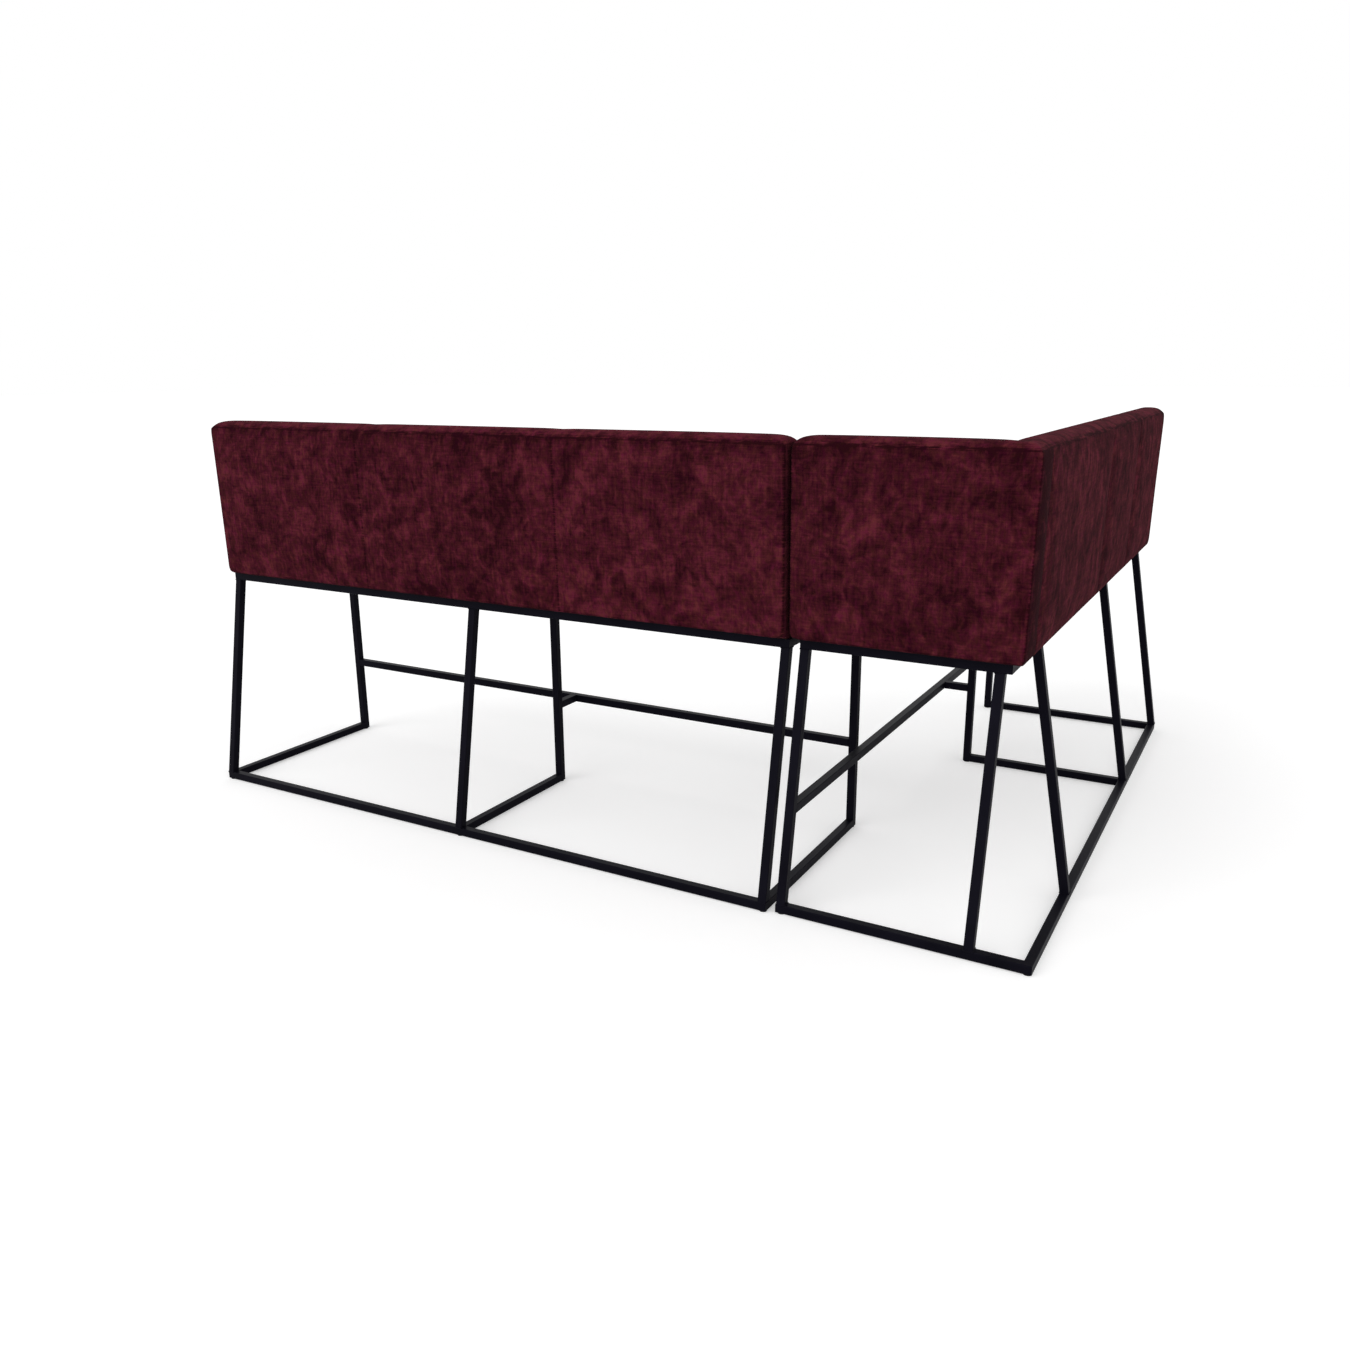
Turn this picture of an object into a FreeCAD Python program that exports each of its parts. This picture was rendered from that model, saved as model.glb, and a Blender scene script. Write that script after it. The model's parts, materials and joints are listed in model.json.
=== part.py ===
import FreeCAD, Part
import math
import os
from FreeCAD import Placement, Rotation, Vector

# Bar banquette of two units that stand in an L, in millimetres, +Z up.
# Everything is drawn from the point where the axes of the corner unit's two outer floor bars cross,
# with X to the right along the backs and Y from the backs into the room, and is centred when it is exported.

# Square steel tube
tube = 25.0
tube_wall = 2.0
tube_corner = 2.0

# Frame heights and depths
glide_height = 3.0
glide_diameter = 22.0
rail_bottom = 715.0
footrest_height = 285.0
leg_lean = 127.0
frame_depth = 657.0
middle_frame_setback = 109.0

# Straight unit, between the axes of its end frames
straight_length = 2130.0
straight_step = 12.0
straight_end_inset = 5.0
unit_gap = 8.0

# Corner unit, places along its floor bars
corner_length = 2140.0
near_right_leg_place = 145.0
right_near_leg_place = 438.0
far_bay_length = 712.0
far_overhang = 12.0

# Boards
seat_board_thickness = 15.0
back_board_thickness = 18.0
seat_board_inset = 6.0
board_end_inset = 6.0

# Seats and backs
seat_height = 825.0
seat_overhang = 22.0
seat_edge_drop = 12.0
seat_side_bulge = 6.0
back_seam_height = 1249.0
border_height = 20.0
border_inset = 3.0
outer_pad_lift = 6.5
back_overhang_bottom = 33.0
back_overhang_top = 42.0
inner_pad_bottom = 60.0
inner_pad_top = 46.0
end_border_width = 110.0
long_first_seam = 1030.0
long_second_seam = 1560.0
panel_count = 3
first_seam_shift = 43.0

# Sewn forms
pad_crown = 4.0
seam_crown = 1.0
pad_corner = 9.0
end_pull = 12.0
end_round = 32.0
seam_depth = 5.0
seam_half_width = 8.0
soft_clearance = 0.5

# Tabs, brackets, screws and lining
tab_width = 30.0
tab_reach = 35.0
tab_thickness = 3.0
tab_count = 4
tab_hole = 5.5
seat_screw_shank = 5.0
seat_screw_bite = 12.0
bracket_width = 30.0
bracket_leaf = 40.0
bracket_thickness = 3.0
bracket_screw_shank = 4.0
bracket_screw_bite = 10.0
straight_bracket_count = 5
long_bracket_count = 4
end_bracket_count = 2
screw_head_ratio = 1.9
screw_head_height = 2.6
pocket_clearance = 1.0
lining_thickness = 1.0
lining_margin = 10.0
plug_plate = 2.0
plug_depth = 10.0
plug_clearance = 0.2

# Sizes that follow
half = tube / 2
middle_frame_depth = frame_depth - middle_frame_setback
right_middle_leg_place = corner_length - far_bay_length
floor_axis = glide_height + half
floor_top = glide_height + tube
rail_axis = rail_bottom + half
rail_top = rail_bottom + tube
seat_board_top = rail_top + seat_board_thickness
rail_outer = leg_lean - half
board_outer = leg_lean - back_board_thickness / 2
board_inner = board_outer + back_board_thickness
outer_pad_bottom = board_outer - rail_outer + back_overhang_bottom
outer_pad_top = board_outer - rail_outer + back_overhang_top
back_bottom = rail_top + outer_pad_lift
seat_rear = board_inner + inner_pad_bottom + pad_crown + soft_clearance
seat_front = frame_depth + half + seat_overhang
seat_depth = seat_front - seat_rear
corner_left = -seat_front
straight_right = corner_left - unit_gap + straight_end_inset - half
straight_left = straight_right - straight_length
straight_middle = straight_left + straight_length / 2
straight_rear = -straight_step
corner_far = corner_length + half + far_overhang

UP = Vector(0, 0, 1)
RIGHT = Vector(1, 0, 0)
LEFT = Vector(-1, 0, 0)
AWAY = Vector(0, 1, 0)
NEAR = Vector(0, -1, 0)
nodes = {}


def rectangle(width_x, width_y, radius):
    """Rounded rectangle round the origin, in the XY plane."""
    a = width_x / 2
    b = width_y / 2
    edges = []
    for quarter in range(4):
        turn = Rotation(UP, 90 * quarter)
        reach_x, reach_y = (a, b) if quarter % 2 == 0 else (b, a)
        start = Vector(reach_x, reach_y - radius, 0)
        end = Vector(reach_x - radius, reach_y, 0)
        shift = radius * (1 - math.sqrt(0.5))
        middle = Vector(reach_x - shift, reach_y - shift, 0)
        side_start = Vector(reach_x, -(reach_y - radius), 0)
        edges.append(Part.LineSegment(turn.multVec(side_start), turn.multVec(start)).toShape())
        edges.append(Part.Arc(turn.multVec(start), turn.multVec(middle), turn.multVec(end)).toShape())
    return Part.Wire(edges)


def tube_prism(width_x, width_y, path):
    """Hollow tube whose section lies flat and which runs along path."""
    open_share = 1 - 2 * tube_wall / tube
    outside = Part.Face(rectangle(width_x, width_y, tube_corner)).extrude(path)
    a = width_x * open_share / 2
    b = width_y * open_share / 2
    corners = [Vector(-a, -b, 0), Vector(a, -b, 0), Vector(a, b, 0), Vector(-a, b, 0), Vector(-a, -b, 0)]
    return outside.cut(Part.Face(Part.makePolygon(corners)).extrude(path))


def bar(start, end):
    """Straight tube with square-cut ends."""
    run = end - start
    solid = tube_prism(tube, tube, Vector(0, 0, run.Length))
    solid.Placement = Placement(start, Rotation(UP, run))
    return solid


def cut_beyond(solid, point, normal):
    """Take away what lies beyond the plane through point."""
    reach = 8 * tube
    block = Part.makeBox(reach, reach, reach, Vector(-reach / 2, -reach / 2, 0))
    block.Placement = Placement(point, Rotation(UP, normal))
    return solid.cut(block)


def mitred_bar(start, end, start_turn=None, end_turn=None):
    """Tube between two axis points; a turn is the way that the tube it meets there leaves the corner."""
    way = (end - start).normalize()
    low = start - way * half if start_turn else start
    high = end + way * half if end_turn else end
    solid = bar(low, high)
    if start_turn:
        solid = cut_beyond(solid, start, start_turn - way)
    if end_turn:
        solid = cut_beyond(solid, end, way + end_turn)
    return solid


def leaning_leg(foot_x, foot_y, lean):
    """Leg that stands on a floor bar, leans inwards and is cut level at both ends."""
    rise = rail_bottom - floor_top
    stretch = math.hypot(rise, leg_lean) / rise
    width_x = tube * stretch if lean.x else tube
    width_y = tube * stretch if lean.y else tube
    leg = tube_prism(width_x, width_y, lean * leg_lean + UP * rise)
    leg.translate(Vector(foot_x, foot_y, floor_top))
    return leg


def front_leg(x, y, bar_way):
    """Upright leg, mitred to the floor bar that reaches it along bar_way."""
    return mitred_bar(Vector(x, y, floor_axis), Vector(x, y, rail_bottom), start_turn=-bar_way)


def loft(wires):
    return Part.makeLoft(wires, True, True)


def wire_of(pieces, place):
    """Wire of lines (two points) and arcs (three points), each point put in place."""
    edges = []
    for points in pieces:
        spots = [place(u, z) for u, z in points]
        curve = Part.Arc(*spots) if len(spots) == 3 else Part.LineSegment(*spots)
        edges.append(curve.toShape())
    return Part.Wire(edges)


def place_at(origin, along, outward, run):
    """Point maker for a section that stands across the run."""
    return lambda u, z: origin + along * run + outward * u + UP * z


def sewn_stations(length, seams, free_start):
    """Places along a padded run, each with how far it is drawn in and how far it swells."""
    edges = [0.0] + list(seams) + [length]
    if free_start:
        stations = [(0.0, end_pull, seam_crown), (end_round, 0.0, pad_crown / 2)]
    else:
        stations = [(0.0, 0.0, pad_crown / 2)]
    for low, high in zip(edges[:-1], edges[1:]):
        if low > 0:
            stations.append((low, seam_depth, seam_crown))
            stations.append((low + seam_half_width, 0.0, pad_crown / 2))
        stations.append(((low + high) / 2, 0.0, pad_crown))
        if high < length:
            stations.append((high - seam_half_width, 0.0, pad_crown / 2))
    stations += [(length - end_round, 0.0, pad_crown / 2), (length, end_pull, seam_crown)]
    return stations


def even_seams(low, high):
    step = (high - low) / panel_count
    return [low + step * number for number in range(1, panel_count)]


def upright_pad(origin, along, outward, length, seams, bottom, depth_bottom, depth_top, free_start=True):
    """Padded panel on a back board: flat against the board, crowned outside, drawn in at ends and seams."""
    top = back_seam_height
    bevel = pad_corner * math.sqrt(0.5)
    wires = []
    for run, pull, swell in sewn_stations(length, seams, free_start):
        high = depth_top - pull
        low = depth_bottom - pull
        belly = ((high + low) / 2 + swell, (top + bottom) / 2)
        upper = (high, top - pad_corner)
        lower = (low, bottom + pad_corner)
        pieces = [
            [(0, bottom), (0, top)],
            [(0, top), (high - pad_corner, top)],
            [(high - pad_corner, top), (high - pad_corner + bevel, top - pad_corner + bevel), upper],
            [upper, belly, lower],
            [lower, (low - pad_corner + bevel, bottom + pad_corner - bevel), (low - pad_corner, bottom)],
            [(low - pad_corner, bottom), (0, bottom)],
        ]
        wires.append(wire_of(pieces, place_at(origin, along, outward, run)))
    return loft(wires)


def top_border(origin, along, outward, length, low_end_start=True, low_end_finish=True):
    """Crowned strip along the top of a back, dipping at its free ends."""
    inner = -back_board_thickness - inner_pad_top + border_inset
    outer = outer_pad_top - border_inset
    dip = border_height * 0.3
    start_height = dip if low_end_start else border_height
    finish_height = dip if low_end_finish else border_height
    heights = [(0.0, start_height), (end_round, border_height)]
    heights += [(length - end_round, border_height), (length, finish_height)]
    wires = []
    for run, height in heights:
        crown = ((inner + outer) / 2, back_seam_height + height)
        foot = (inner, back_seam_height)
        edge = (outer, back_seam_height)
        pieces = [[foot, edge], [edge, crown, foot]]
        wires.append(wire_of(pieces, place_at(origin, along, outward, run)))
    return loft(wires)


def seat_cushion(origin, along, outward, length, seams):
    """Seat pad on its board: flat below and behind, crowned on top, bulging at the front."""
    bottom = seat_board_top
    wires = []
    for run, pull, swell in sewn_stations(length, seams, True):
        top = seat_height - seat_edge_drop - pull
        crown = seat_height - pull - pad_crown + swell
        front = seat_depth - pull
        middle = (bottom + top) / 2
        pieces = [
            [(0, bottom), (front - seat_side_bulge, bottom)],
            [(front - seat_side_bulge, bottom), (front, middle), (front - seat_side_bulge, top)],
            [(front - seat_side_bulge, top), (front / 2, crown), (0, top)],
            [(0, top), (0, bottom)],
        ]
        wires.append(wire_of(pieces, place_at(origin, along, outward, run)))
    return loft(wires)


def box_between(low, high):
    size = high - low
    return Part.makeBox(size.x, size.y, size.z, low)


def box_on(origin, along, outward, run_span, out_span, height_span):
    """Box given by its spans along a run, outwards from it and in height."""
    corner_a = origin + along * run_span[0] + outward * out_span[0] + UP * height_span[0]
    corner_b = origin + along * run_span[1] + outward * out_span[1] + UP * height_span[1]
    low = Vector(min(corner_a.x, corner_b.x), min(corner_a.y, corner_b.y), min(corner_a.z, corner_b.z))
    high = Vector(max(corner_a.x, corner_b.x), max(corner_a.y, corner_b.y), max(corner_a.z, corner_b.z))
    return box_between(low, high)


def screw(head_face, way, shank, length):
    """Pan-head screw: its head sits behind head_face and its shank runs along way."""
    head_radius = shank * screw_head_ratio / 2
    head = Part.makeCylinder(head_radius, screw_head_height, head_face - way * screw_head_height, way)
    stem = Part.makeCylinder(shank / 2, length, head_face, way)
    return head.fuse(stem).removeSplitter()


def even_places(low, high, count):
    return [low + (high - low) * (number + 0.5) / count for number in range(count)]


def cut_all(solid, cutters):
    for cutter in cutters:
        solid = solid.cut(cutter)
    return solid


# Tabs welded inside the seat rails, and the screws that go up through them into the seat board

tabs = []
seat_screws = []


def rail_tabs(origin, along, inward, places):
    """Tabs along one rail's inner face; returns the pilot holes for the board above."""
    pilots = []
    for place in places:
        span = (place - tab_width / 2, place + tab_width / 2)
        plate = box_on(origin, along, inward, span, (0, tab_reach), (rail_top - tab_thickness, rail_top))
        centre = origin + along * place + inward * (tab_reach / 2) + UP * (rail_top - tab_thickness)
        tabs.append(plate.cut(Part.makeCylinder(tab_hole / 2, tab_thickness, centre, UP)))
        seat_screws.append(screw(centre, UP, seat_screw_shank, tab_thickness + seat_screw_bite))
        above = centre + UP * tab_thickness
        pilots.append(Part.makeCylinder(seat_screw_shank / 2, seat_screw_bite, above, UP))
    return pilots


# Angle brackets between a seat board and a back board, and their screws

brackets = []
bracket_screws = []


def back_brackets(origin, along, inward, places):
    """Brackets at the foot of a back board; returns pilots for both boards and pockets for the pad."""
    seat_pilots = []
    back_pilots = []
    pockets = []
    for place in places:
        span = (place - bracket_width / 2, place + bracket_width / 2)
        foot = seat_board_top
        flat = box_on(origin, along, inward, span, (0, bracket_leaf), (foot, foot + bracket_thickness))
        tall = box_on(origin, along, inward, span, (0, bracket_thickness), (foot, foot + bracket_leaf))
        on_seat = origin + along * place + inward * (bracket_leaf * 0.6) + UP * (foot + bracket_thickness)
        on_back = origin + along * place + inward * bracket_thickness + UP * (foot + bracket_leaf * 0.6)
        length = bracket_thickness + bracket_screw_bite
        down = Part.makeCylinder(bracket_screw_shank / 2, length, on_seat, -UP)
        back = Part.makeCylinder(bracket_screw_shank / 2, length, on_back, -inward)
        brackets.append(flat.fuse(tall).removeSplitter().cut(down).cut(back))
        bracket_screws.append(screw(on_seat, -UP, bracket_screw_shank, length))
        bracket_screws.append(screw(on_back, -inward, bracket_screw_shank, length))
        seat_pilots.append(down)
        back_pilots.append(back)
        wide = (span[0] - pocket_clearance, span[1] + pocket_clearance)
        reach = bracket_leaf + pocket_clearance
        pockets.append(box_on(origin, along, inward, wide, (0, reach), (foot, foot + reach)))
    return seat_pilots, back_pilots, pockets


# Straight unit: welded frame

def straight_point(x, depth, height):
    return Vector(x, straight_rear + depth, height)


frame_places = {"left": straight_left, "middle": straight_middle, "right": straight_right}
nodes["straight_rear_floor_bar"] = mitred_bar(
    straight_point(straight_left, 0, floor_axis), straight_point(straight_right, 0, floor_axis), AWAY, AWAY)
for side, x in frame_places.items():
    depth = middle_frame_depth if side == "middle" else frame_depth
    rear_turn = {"left": RIGHT, "middle": None, "right": LEFT}[side]
    rear = half if side == "middle" else 0.0
    nodes[f"straight_{side}_floor_bar"] = mitred_bar(
        straight_point(x, rear, floor_axis), straight_point(x, depth, floor_axis), rear_turn, UP)
    nodes[f"straight_{side}_rear_leg"] = leaning_leg(x, straight_rear, AWAY)
    nodes[f"straight_{side}_front_leg"] = front_leg(x, straight_rear + depth, AWAY)

nodes["straight_footrest_bar"] = bar(
    straight_point(straight_left + half, frame_depth, footrest_height),
    straight_point(straight_right - half, frame_depth, footrest_height))
nodes["straight_footrest_stub"] = bar(
    straight_point(straight_middle, middle_frame_depth + half, footrest_height),
    straight_point(straight_middle, frame_depth - half, footrest_height))
rear_left = straight_point(straight_left, leg_lean, rail_axis)
rear_right = straight_point(straight_right, leg_lean, rail_axis)
front_left = straight_point(straight_left, frame_depth, rail_axis)
front_right = straight_point(straight_right, frame_depth, rail_axis)
nodes["straight_rear_rail"] = mitred_bar(rear_left, rear_right, AWAY, AWAY)
nodes["straight_front_rail"] = mitred_bar(front_left, front_right, NEAR, NEAR)
nodes["straight_left_rail"] = mitred_bar(rear_left, front_left, RIGHT, RIGHT)
nodes["straight_right_rail"] = mitred_bar(rear_right, front_right, LEFT, LEFT)
nodes["straight_middle_rail"] = bar(
    straight_point(straight_middle, leg_lean + half, rail_axis),
    straight_point(straight_middle, frame_depth - half, rail_axis))

# Corner unit: welded frame

nodes["corner_near_floor_bar"] = mitred_bar(
    Vector(-frame_depth - half, 0, floor_axis), Vector(0, 0, floor_axis), None, AWAY)
nodes["corner_right_floor_bar"] = mitred_bar(
    Vector(0, 0, floor_axis), Vector(0, corner_length, floor_axis), LEFT, LEFT)
nodes["corner_middle_floor_bar"] = mitred_bar(
    Vector(-half, right_middle_leg_place, floor_axis),
    Vector(-middle_frame_depth, right_middle_leg_place, floor_axis), None, UP)
nodes["corner_far_floor_bar"] = mitred_bar(
    Vector(0, corner_length, floor_axis), Vector(-frame_depth, corner_length, floor_axis), NEAR, UP)
nodes["corner_near_left_leg"] = leaning_leg(-frame_depth, 0, AWAY)
nodes["corner_near_right_leg"] = leaning_leg(-near_right_leg_place, 0, AWAY)
nodes["corner_right_near_leg"] = leaning_leg(0, right_near_leg_place, LEFT)
nodes["corner_right_middle_leg"] = leaning_leg(0, right_middle_leg_place, LEFT)
nodes["corner_right_far_leg"] = leaning_leg(0, corner_length, LEFT)
nodes["corner_middle_front_leg"] = front_leg(-middle_frame_depth, right_middle_leg_place, LEFT)
nodes["corner_far_front_leg"] = front_leg(-frame_depth, corner_length, LEFT)

leg_way = (AWAY * leg_lean + UP * (rail_bottom - floor_top)).normalize()
leg_face_normal = NEAR * leg_way.z + UP * leg_way.y
leg_at_footrest = leg_lean * (footrest_height - floor_top) / (rail_bottom - floor_top)
leg_face = Vector(-frame_depth, leg_at_footrest, footrest_height) - leg_face_normal * half
nodes["corner_footrest_bar"] = cut_beyond(
    bar(Vector(-frame_depth, leg_at_footrest, footrest_height),
        Vector(-frame_depth, corner_length - half, footrest_height)),
    leg_face, leg_face_normal)
nodes["corner_footrest_stub"] = bar(
    Vector(-middle_frame_depth - half, right_middle_leg_place, footrest_height),
    Vector(-frame_depth + half, right_middle_leg_place, footrest_height))
nodes["corner_near_rail"] = mitred_bar(
    Vector(-frame_depth, leg_lean, rail_axis), Vector(-leg_lean, leg_lean, rail_axis), AWAY, AWAY)
nodes["corner_far_rail"] = mitred_bar(
    Vector(-frame_depth, corner_length, rail_axis), Vector(-leg_lean, corner_length, rail_axis), NEAR, NEAR)
nodes["corner_front_rail"] = mitred_bar(
    Vector(-frame_depth, leg_lean, rail_axis), Vector(-frame_depth, corner_length, rail_axis), RIGHT, RIGHT)
nodes["corner_right_rail"] = mitred_bar(
    Vector(-leg_lean, leg_lean, rail_axis), Vector(-leg_lean, corner_length, rail_axis), LEFT, LEFT)
nodes["corner_middle_rail"] = bar(
    Vector(-leg_lean - half, right_middle_leg_place, rail_axis),
    Vector(-frame_depth + half, right_middle_leg_place, rail_axis))

plug_inside = tube - 2 * tube_wall - 2 * plug_clearance
plug_face = Part.Face(rectangle(tube, tube, tube_corner)).extrude(UP * plug_plate)
plug_corner = Vector(-plug_inside / 2, -plug_inside / 2, plug_plate)
plug_stem = Part.makeBox(plug_inside, plug_inside, plug_depth, plug_corner)
plug = plug_face.fuse(plug_stem)
plug.Placement = Placement(Vector(-frame_depth - half - plug_plate, 0, floor_axis), Rotation(UP, RIGHT))
nodes["corner_bar_plug"] = plug

# Glides under both frames

glide_spots = [straight_point(x, 0, 0) for x in frame_places.values()]
glide_spots += [straight_point(straight_left, frame_depth, 0), straight_point(straight_right, frame_depth, 0)]
glide_spots += [straight_point(straight_middle, middle_frame_depth, 0)]
glide_spots += [Vector(-frame_depth, 0, 0), Vector(0, 0, 0), Vector(0, right_middle_leg_place, 0)]
glide_spots += [Vector(0, corner_length, 0), Vector(-frame_depth, corner_length, 0)]
glide_spots += [Vector(-middle_frame_depth, right_middle_leg_place, 0)]
nodes["floor_glides"] = Part.makeCompound(
    [Part.makeCylinder(glide_diameter / 2, glide_height, spot, UP) for spot in glide_spots])

# Straight unit: seat and back

back_left = straight_left - half + straight_end_inset
back_right = straight_right + half - straight_end_inset
back_length = back_right - back_left
straight_seams = even_seams(0, back_length)
outer_seams = [straight_seams[0] - first_seam_shift] + straight_seams[1:]
straight_start = straight_point(back_left, 0, 0)
board_span = (board_end_inset, back_length - board_end_inset)

tab_places = even_places(0, straight_length, tab_count)
tab_pilots = rail_tabs(straight_point(straight_left, leg_lean + half, 0), RIGHT, AWAY, tab_places)
tab_pilots += rail_tabs(straight_point(straight_left, frame_depth - half, 0), RIGHT, NEAR, tab_places)
seat_pilots, back_pilots, pockets = back_brackets(
    straight_start + AWAY * board_inner, RIGHT, AWAY, even_places(0, back_length, straight_bracket_count))

nodes["straight_seat_board"] = cut_all(
    box_on(straight_start, RIGHT, AWAY, board_span, (board_inner, seat_front - seat_board_inset),
           (rail_top, seat_board_top)),
    tab_pilots + seat_pilots)
nodes["straight_back_board"] = cut_all(
    box_on(straight_start, RIGHT, AWAY, board_span, (board_outer, board_inner), (rail_top, back_seam_height)),
    back_pilots)
nodes["straight_seat_cushion"] = seat_cushion(
    straight_start + AWAY * seat_rear, RIGHT, AWAY, back_length, straight_seams)
nodes["straight_back_outer_pad"] = upright_pad(
    straight_start + AWAY * board_outer, RIGHT, NEAR, back_length, outer_seams,
    back_bottom, outer_pad_bottom, outer_pad_top)
nodes["straight_back_inner_pad"] = cut_all(
    upright_pad(straight_start + AWAY * board_inner, RIGHT, AWAY, back_length, straight_seams,
                seat_board_top, inner_pad_bottom, inner_pad_top),
    pockets)
nodes["straight_back_top_border"] = top_border(
    straight_start + AWAY * board_outer, RIGHT, NEAR, back_length)

# Corner unit: seat, end back and long back. The end back runs through to the outer corner.

end_length = -board_outer - corner_left
end_start = Vector(corner_left, 0, 0)
end_board_span = (board_end_inset, end_length)
long_start = Vector(0, board_inner, 0)
long_length = corner_far - board_inner
long_board_span = (0, long_length - board_end_inset)
long_outer_start = Vector(-board_outer, board_outer, 0)
long_outer_length = corner_far - board_outer
end_border_seam = end_border_width - outer_pad_top
long_seams = [end_border_seam, long_first_seam - board_outer, long_second_seam - board_outer]
inner_start = board_inner + inner_pad_bottom + pad_crown + soft_clearance
long_inner_length = corner_far - inner_start
corner_seat_length = corner_far - seat_rear

tab_places = even_places(0, corner_length - leg_lean, tab_count)
tab_pilots = rail_tabs(Vector(-leg_lean - half, leg_lean, 0), AWAY, LEFT, tab_places)
tab_pilots += rail_tabs(Vector(-frame_depth + half, leg_lean, 0), AWAY, RIGHT, tab_places)
long_seat_pilots, long_back_pilots, long_pockets = back_brackets(
    Vector(-board_inner, inner_start, 0), AWAY, LEFT, even_places(0, long_inner_length, long_bracket_count))
end_seat_pilots, end_back_pilots, end_pockets = back_brackets(
    Vector(corner_left, board_inner, 0), RIGHT, AWAY, even_places(0, end_length, end_bracket_count))

nodes["corner_seat_board"] = cut_all(
    box_between(Vector(corner_left + seat_board_inset, board_inner, rail_top),
                Vector(-board_inner, corner_far - board_end_inset, seat_board_top)),
    tab_pilots + long_seat_pilots + end_seat_pilots)
nodes["corner_end_back_board"] = cut_all(
    box_on(end_start, RIGHT, AWAY, end_board_span, (board_outer, board_inner), (rail_top, back_seam_height)),
    end_back_pilots)
nodes["corner_long_back_board"] = cut_all(
    box_on(long_start, AWAY, LEFT, long_board_span, (board_outer, board_inner), (rail_top, back_seam_height)),
    long_back_pilots)
nodes["corner_seat_cushion"] = seat_cushion(
    Vector(-seat_rear, seat_rear, 0), AWAY, LEFT, corner_seat_length, even_seams(0, corner_seat_length))
nodes["corner_end_outer_pad"] = upright_pad(
    Vector(corner_left, board_outer, 0), RIGHT, NEAR, end_length + outer_pad_top, [],
    back_bottom, outer_pad_bottom, outer_pad_top)
nodes["corner_end_inner_pad"] = cut_all(
    upright_pad(Vector(corner_left, board_inner, 0), RIGHT, AWAY, end_length - back_board_thickness, [],
                seat_board_top, inner_pad_bottom, inner_pad_top),
    end_pockets)
nodes["corner_long_outer_pad"] = upright_pad(
    long_outer_start, AWAY, RIGHT, long_outer_length, long_seams,
    back_bottom, outer_pad_bottom, outer_pad_top, free_start=False)
nodes["corner_long_inner_pad"] = cut_all(
    upright_pad(Vector(-board_inner, inner_start, 0), AWAY, LEFT, long_inner_length, [],
                seat_board_top, inner_pad_bottom, inner_pad_top),
    long_pockets)
nodes["corner_end_top_border"] = top_border(
    Vector(corner_left, board_outer, 0), RIGHT, NEAR, end_length + outer_pad_top - border_inset)
border_start = board_inner + inner_pad_top - border_inset
nodes["corner_long_top_border"] = top_border(
    Vector(-board_outer, border_start, 0), AWAY, RIGHT, corner_far - border_start, low_end_start=False)

# Shared small steel pieces

nodes["seat_tabs"] = Part.makeCompound(tabs)
nodes["seat_screws"] = Part.makeCompound(seat_screws)
nodes["back_brackets"] = Part.makeCompound(brackets)
nodes["bracket_screws"] = Part.makeCompound(bracket_screws)


# Lining under each seat board, one sheet on each side of the middle rail

def lining(origin, along, inward, length, middle):
    edge = half + tab_reach + lining_margin
    side = half + lining_margin
    reach = (leg_lean + edge, frame_depth - edge)
    height = (rail_top - lining_thickness, rail_top)
    runs = [(side, middle - side), (middle + side, length - side)]
    return Part.makeCompound([box_on(origin, along, inward, run, reach, height) for run in runs])


nodes["straight_lining"] = lining(
    straight_point(straight_left, 0, 0), RIGHT, AWAY, straight_length, straight_length / 2)
nodes["corner_lining"] = lining(
    Vector(0, leg_lean, 0), AWAY, LEFT, corner_length - leg_lean, right_middle_leg_place - leg_lean)

# Centre the object over its resting plane and write one file for each piece

low_corner = Vector(straight_left - half, straight_rear - half, 0)
high_corner = Vector(half, corner_far, 0)
centre = (low_corner + high_corner) * 0.5
os.makedirs("parts", exist_ok=True)
for name, shape in nodes.items():
    shape.translate(-centre)
    shape.exportStep(f"parts/{name}.step")
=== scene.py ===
import json
import math
import bmesh
import bpy
import numpy as np
from mathutils import Matrix, Vector


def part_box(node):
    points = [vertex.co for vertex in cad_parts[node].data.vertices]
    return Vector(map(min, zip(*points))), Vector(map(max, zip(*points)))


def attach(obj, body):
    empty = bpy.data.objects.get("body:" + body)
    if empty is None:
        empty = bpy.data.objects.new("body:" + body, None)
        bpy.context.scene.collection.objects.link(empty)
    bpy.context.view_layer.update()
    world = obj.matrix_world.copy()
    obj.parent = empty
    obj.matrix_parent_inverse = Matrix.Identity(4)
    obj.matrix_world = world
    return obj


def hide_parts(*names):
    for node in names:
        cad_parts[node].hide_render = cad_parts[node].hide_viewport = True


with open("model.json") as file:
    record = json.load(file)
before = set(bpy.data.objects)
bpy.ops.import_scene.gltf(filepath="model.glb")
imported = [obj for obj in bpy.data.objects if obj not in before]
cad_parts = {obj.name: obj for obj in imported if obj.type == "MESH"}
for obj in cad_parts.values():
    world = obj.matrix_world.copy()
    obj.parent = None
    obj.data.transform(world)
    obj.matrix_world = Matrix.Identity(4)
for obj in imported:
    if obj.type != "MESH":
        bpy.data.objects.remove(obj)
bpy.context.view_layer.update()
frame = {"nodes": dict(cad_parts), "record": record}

# Camera, in the frame of the model, for a picture of 1350 by 1351 pixels
PICTURE_HEIGHT = 1351
FOCAL_PIXELS = 1117.0
SENSOR = 36.0
CAMERA_PLACE = Vector((1.8876, -3.6038, 1.4465))
CAMERA_YAW = math.radians(29.859)
CAMERA_PITCH = math.radians(-15.644)
CAMERA_ROLL = math.radians(-0.526)

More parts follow.
